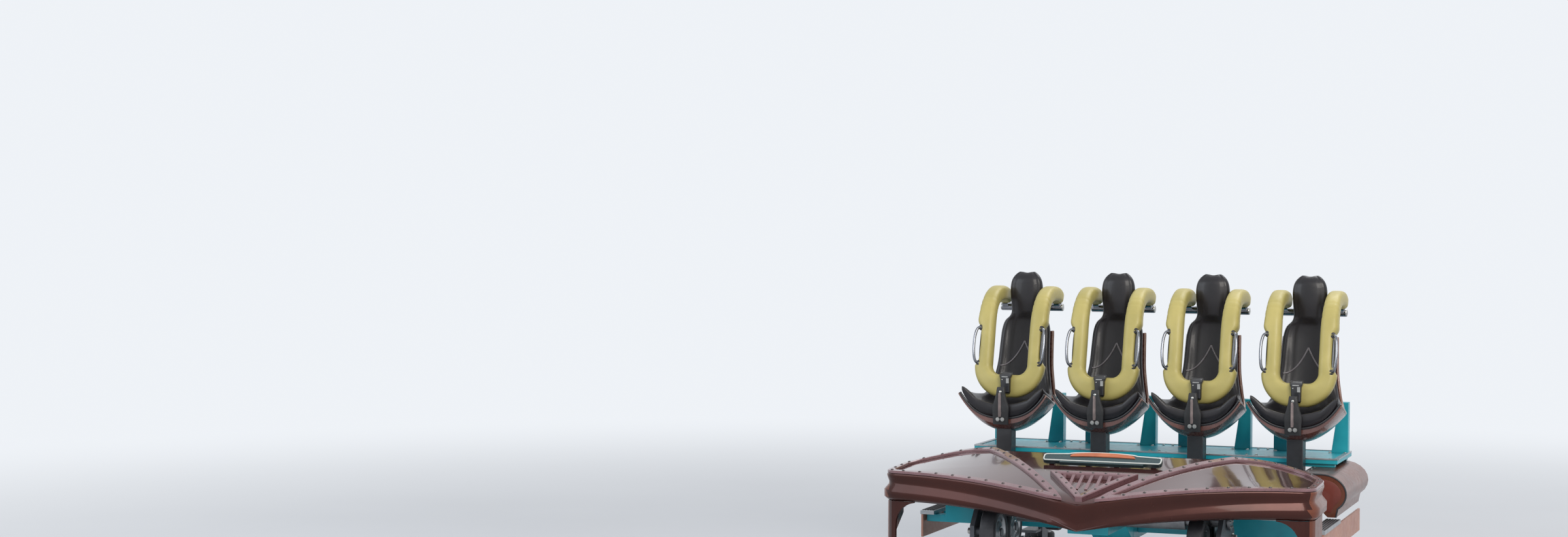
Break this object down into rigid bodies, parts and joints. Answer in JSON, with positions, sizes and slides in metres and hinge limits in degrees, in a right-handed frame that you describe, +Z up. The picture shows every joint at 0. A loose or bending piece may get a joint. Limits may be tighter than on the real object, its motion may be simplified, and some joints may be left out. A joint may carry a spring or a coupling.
{
  "type": "roller coaster car",
  "caption": "Lead car of a roller coaster train: seats abreast with over-shoulder restraints, a riveted V nose, and wheel carriers that grip tubular rails.",
  "frame": {"origin": "middle of the car's length and width, on the floor that the lowest wheels stand on", "axes": "+Z up, -Y towards the nose, +X towards the right-hand seats as seen from in front"},
  "size_m": [2.582, 2.631, 1.9989],
  "materials": {
    "teal_paint": "gloss",
    "copper_paint": "gloss metallic",
    "trim_paint": "satin metallic",
    "plaque_paint": "gloss",
    "skirt_paint": "satin",
    "carrier_paint": "satin",
    "black_paint": "satin",
    "tray_metal": "brushed",
    "axle_steel": "satin",
    "restraint_steel": "polished",
    "restraint_foam": "satin moulded foam skin",
    "seat_vinyl": "satin moulded skin",
    "shell_plastic": "gloss",
    "webbing": "woven",
    "wheel_tyre": "worn"
  },
  "bodies": {
    "root": {"chassis": "teal_paint", "deck": "teal_paint", "floor_trays": "tray_metal", "side_steps": "tray_metal", "side_skirts": "skirt_paint", "rear_fenders": "copper_paint", "axles": "axle_steel", "brake_fin": "axle_steel", "hitch": "axle_steel", "nose_shell": "copper_paint", "nose_panels": "trim_paint", "nose_grille": "trim_paint", "nose_plaque": "plaque_paint", "seat_posts": "black_paint", "seat_pylons": "teal_paint", "belts": "webbing", "seat_shell_1": "shell_plastic", "seat_cushion_1": "seat_vinyl", "seat_shell_2": "shell_plastic", "seat_cushion_2": "seat_vinyl", "seat_shell_3": "shell_plastic", "seat_cushion_3": "seat_vinyl", "seat_shell_4": "shell_plastic", "seat_cushion_4": "seat_vinyl"},
    "restraint_1": {"restraint_frame_1": "restraint_steel", "restraint_pad_1": "restraint_foam"},
    "restraint_2": {"restraint_frame_2": "restraint_steel", "restraint_pad_2": "restraint_foam"},
    "restraint_3": {"restraint_frame_3": "restraint_steel", "restraint_pad_3": "restraint_foam"},
    "restraint_4": {"restraint_frame_4": "restraint_steel", "restraint_pad_4": "restraint_foam"},
    "carrier_front_left": {"carrier_front_left": "carrier_paint"},
    "run_wheel_front_left_fore": {"run_wheel_front_left_fore": "wheel_tyre"},
    "guide_wheel_front_left_fore": {"guide_wheel_front_left_fore": "wheel_tyre"},
    "stop_wheel_front_left_fore": {"stop_wheel_front_left_fore": "wheel_tyre"},
    "run_wheel_front_left_aft": {"run_wheel_front_left_aft": "wheel_tyre"},
    "guide_wheel_front_left_aft": {"guide_wheel_front_left_aft": "wheel_tyre"},
    "stop_wheel_front_left_aft": {"stop_wheel_front_left_aft": "wheel_tyre"},
    "carrier_front_right": {"carrier_front_right": "carrier_paint"},
    "run_wheel_front_right_fore": {"run_wheel_front_right_fore": "wheel_tyre"},
    "guide_wheel_front_right_fore": {"guide_wheel_front_right_fore": "wheel_tyre"},
    "stop_wheel_front_right_fore": {"stop_wheel_front_right_fore": "wheel_tyre"},
    "run_wheel_front_right_aft": {"run_wheel_front_right_aft": "wheel_tyre"},
    "guide_wheel_front_right_aft": {"guide_wheel_front_right_aft": "wheel_tyre"},
    "stop_wheel_front_right_aft": {"stop_wheel_front_right_aft": "wheel_tyre"},
    "carrier_rear_left": {"carrier_rear_left": "carrier_paint"},
    "run_wheel_rear_left_fore": {"run_wheel_rear_left_fore": "wheel_tyre"},
    "guide_wheel_rear_left_fore": {"guide_wheel_rear_left_fore": "wheel_tyre"},
    "stop_wheel_rear_left_fore": {"stop_wheel_rear_left_fore": "wheel_tyre"},
    "run_wheel_rear_left_aft": {"run_wheel_rear_left_aft": "wheel_tyre"},
    "guide_wheel_rear_left_aft": {"guide_wheel_rear_left_aft": "wheel_tyre"},
    "stop_wheel_rear_left_aft": {"stop_wheel_rear_left_aft": "wheel_tyre"},
    "carrier_rear_right": {"carrier_rear_right": "carrier_paint"},
    "run_wheel_rear_right_fore": {"run_wheel_rear_right_fore": "wheel_tyre"},
    "guide_wheel_rear_right_fore": {"guide_wheel_rear_right_fore": "wheel_tyre"},
    "stop_wheel_rear_right_fore": {"stop_wheel_rear_right_fore": "wheel_tyre"},
    "run_wheel_rear_right_aft": {"run_wheel_rear_right_aft": "wheel_tyre"},
    "guide_wheel_rear_right_aft": {"guide_wheel_rear_right_aft": "wheel_tyre"},
    "stop_wheel_rear_right_aft": {"stop_wheel_rear_right_aft": "wheel_tyre"}
  },
  "joints": [
    {"name": "restraint_1_open", "type": "hinge", "parent": "root", "child": "restraint_1", "pos_m": [-0.93, 1.0855, 1.76], "axis": [-1, 0, 0], "range_deg": [0, 75]},
    {"name": "restraint_2_open", "type": "hinge", "parent": "root", "child": "restraint_2", "pos_m": [-0.31, 1.0855, 1.76], "axis": [-1, 0, 0], "range_deg": [0, 75]},
    {"name": "restraint_3_open", "type": "hinge", "parent": "root", "child": "restraint_3", "pos_m": [0.31, 1.0855, 1.76], "axis": [-1, 0, 0], "range_deg": [0, 75]},
    {"name": "restraint_4_open", "type": "hinge", "parent": "root", "child": "restraint_4", "pos_m": [0.93, 1.0855, 1.76], "axis": [-1, 0, 0], "range_deg": [0, 75]},
    {"name": "carrier_front_left_rock", "type": "hinge", "parent": "root", "child": "carrier_front_left", "pos_m": [-0.728, -0.7195, 0.613], "axis": [1, 0, 0], "range_deg": [-8, 8]},
    {"name": "carrier_front_right_rock", "type": "hinge", "parent": "root", "child": "carrier_front_right", "pos_m": [0.728, -0.7195, 0.613], "axis": [1, 0, 0], "range_deg": [-8, 8]},
    {"name": "carrier_rear_left_rock", "type": "hinge", "parent": "root", "child": "carrier_rear_left", "pos_m": [-0.728, 0.6555, 0.613], "axis": [1, 0, 0], "range_deg": [-8, 8]},
    {"name": "carrier_rear_right_rock", "type": "hinge", "parent": "root", "child": "carrier_rear_right", "pos_m": [0.728, 0.6555, 0.613], "axis": [1, 0, 0], "range_deg": [-8, 8]},
    {"name": "run_wheel_front_left_fore_spin", "type": "hinge", "parent": "carrier_front_left", "child": "run_wheel_front_left_fore", "pos_m": [-0.61, -0.8775, 0.501], "axis": [1, 0, 0], "continuous": true},
    {"name": "guide_wheel_front_left_fore_spin", "type": "hinge", "parent": "carrier_front_left", "child": "guide_wheel_front_left_fore", "pos_m": [-0.782, -0.8845, 0.267], "axis": [0, 0, 1], "continuous": true},
    {"name": "stop_wheel_front_left_fore_spin", "type": "hinge", "parent": "carrier_front_left", "child": "stop_wheel_front_left_fore", "pos_m": [-0.61, -0.8215, 0.09], "axis": [1, 0, 0], "continuous": true},
    {"name": "run_wheel_front_left_aft_spin", "type": "hinge", "parent": "carrier_front_left", "child": "run_wheel_front_left_aft", "pos_m": [-0.61, -0.5615, 0.501], "axis": [1, 0, 0], "continuous": true},
    {"name": "guide_wheel_front_left_aft_spin", "type": "hinge", "parent": "carrier_front_left", "child": "guide_wheel_front_left_aft", "pos_m": [-0.782, -0.5545, 0.267], "axis": [0, 0, 1], "continuous": true},
    {"name": "stop_wheel_front_left_aft_spin", "type": "hinge", "parent": "carrier_front_left", "child": "stop_wheel_front_left_aft", "pos_m": [-0.61, -0.6175, 0.09], "axis": [1, 0, 0], "continuous": true},
    {"name": "run_wheel_front_right_fore_spin", "type": "hinge", "parent": "carrier_front_right", "child": "run_wheel_front_right_fore", "pos_m": [0.61, -0.8775, 0.501], "axis": [1, 0, 0], "continuous": true},
    {"name": "guide_wheel_front_right_fore_spin", "type": "hinge", "parent": "carrier_front_right", "child": "guide_wheel_front_right_fore", "pos_m": [0.782, -0.8845, 0.267], "axis": [0, 0, 1], "continuous": true},
    {"name": "stop_wheel_front_right_fore_spin", "type": "hinge", "parent": "carrier_front_right", "child": "stop_wheel_front_right_fore", "pos_m": [0.61, -0.8215, 0.09], "axis": [1, 0, 0], "continuous": true},
    {"name": "run_wheel_front_right_aft_spin", "type": "hinge", "parent": "carrier_front_right", "child": "run_wheel_front_right_aft", "pos_m": [0.61, -0.5615, 0.501], "axis": [1, 0, 0], "continuous": true},
    {"name": "guide_wheel_front_right_aft_spin", "type": "hinge", "parent": "carrier_front_right", "child": "guide_wheel_front_right_aft", "pos_m": [0.782, -0.5545, 0.267], "axis": [0, 0, 1], "continuous": true},
    {"name": "stop_wheel_front_right_aft_spin", "type": "hinge", "parent": "carrier_front_right", "child": "stop_wheel_front_right_aft", "pos_m": [0.61, -0.6175, 0.09], "axis": [1, 0, 0], "continuous": true},
    {"name": "run_wheel_rear_left_fore_spin", "type": "hinge", "parent": "carrier_rear_left", "child": "run_wheel_rear_left_fore", "pos_m": [-0.61, 0.4975, 0.501], "axis": [1, 0, 0], "continuous": true},
    {"name": "guide_wheel_rear_left_fore_spin", "type": "hinge", "parent": "carrier_rear_left", "child": "guide_wheel_rear_left_fore", "pos_m": [-0.782, 0.4905, 0.267], "axis": [0, 0, 1], "continuous": true},
    {"name": "stop_wheel_rear_left_fore_spin", "type": "hinge", "parent": "carrier_rear_left", "child": "stop_wheel_rear_left_fore", "pos_m": [-0.61, 0.5535, 0.09], "axis": [1, 0, 0], "continuous": true},
    {"name": "run_wheel_rear_left_aft_spin", "type": "hinge", "parent": "carrier_rear_left", "child": "run_wheel_rear_left_aft", "pos_m": [-0.61, 0.8135, 0.501], "axis": [1, 0, 0], "continuous": true},
    {"name": "guide_wheel_rear_left_aft_spin", "type": "hinge", "parent": "carrier_rear_left", "child": "guide_wheel_rear_left_aft", "pos_m": [-0.782, 0.8205, 0.267], "axis": [0, 0, 1], "continuous": true},
    {"name": "stop_wheel_rear_left_aft_spin", "type": "hinge", "parent": "carrier_rear_left", "child": "stop_wheel_rear_left_aft", "pos_m": [-0.61, 0.7575, 0.09], "axis": [1, 0, 0], "continuous": true},
    {"name": "run_wheel_rear_right_fore_spin", "type": "hinge", "parent": "carrier_rear_right", "child": "run_wheel_rear_right_fore", "pos_m": [0.61, 0.4975, 0.501], "axis": [1, 0, 0], "continuous": true},
    {"name": "guide_wheel_rear_right_fore_spin", "type": "hinge", "parent": "carrier_rear_right", "child": "guide_wheel_rear_right_fore", "pos_m": [0.782, 0.4905, 0.267], "axis": [0, 0, 1], "continuous": true},
    {"name": "stop_wheel_rear_right_fore_spin", "type": "hinge", "parent": "carrier_rear_right", "child": "stop_wheel_rear_right_fore", "pos_m": [0.61, 0.5535, 0.09], "axis": [1, 0, 0], "continuous": true},
    {"name": "run_wheel_rear_right_aft_spin", "type": "hinge", "parent": "carrier_rear_right", "child": "run_wheel_rear_right_aft", "pos_m": [0.61, 0.8135, 0.501], "axis": [1, 0, 0], "continuous": true},
    {"name": "guide_wheel_rear_right_aft_spin", "type": "hinge", "parent": "carrier_rear_right", "child": "guide_wheel_rear_right_aft", "pos_m": [0.782, 0.8205, 0.267], "axis": [0, 0, 1], "continuous": true},
    {"name": "stop_wheel_rear_right_aft_spin", "type": "hinge", "parent": "carrier_rear_right", "child": "stop_wheel_rear_right_aft", "pos_m": [0.61, 0.7575, 0.09], "axis": [1, 0, 0], "continuous": true}
  ]
}
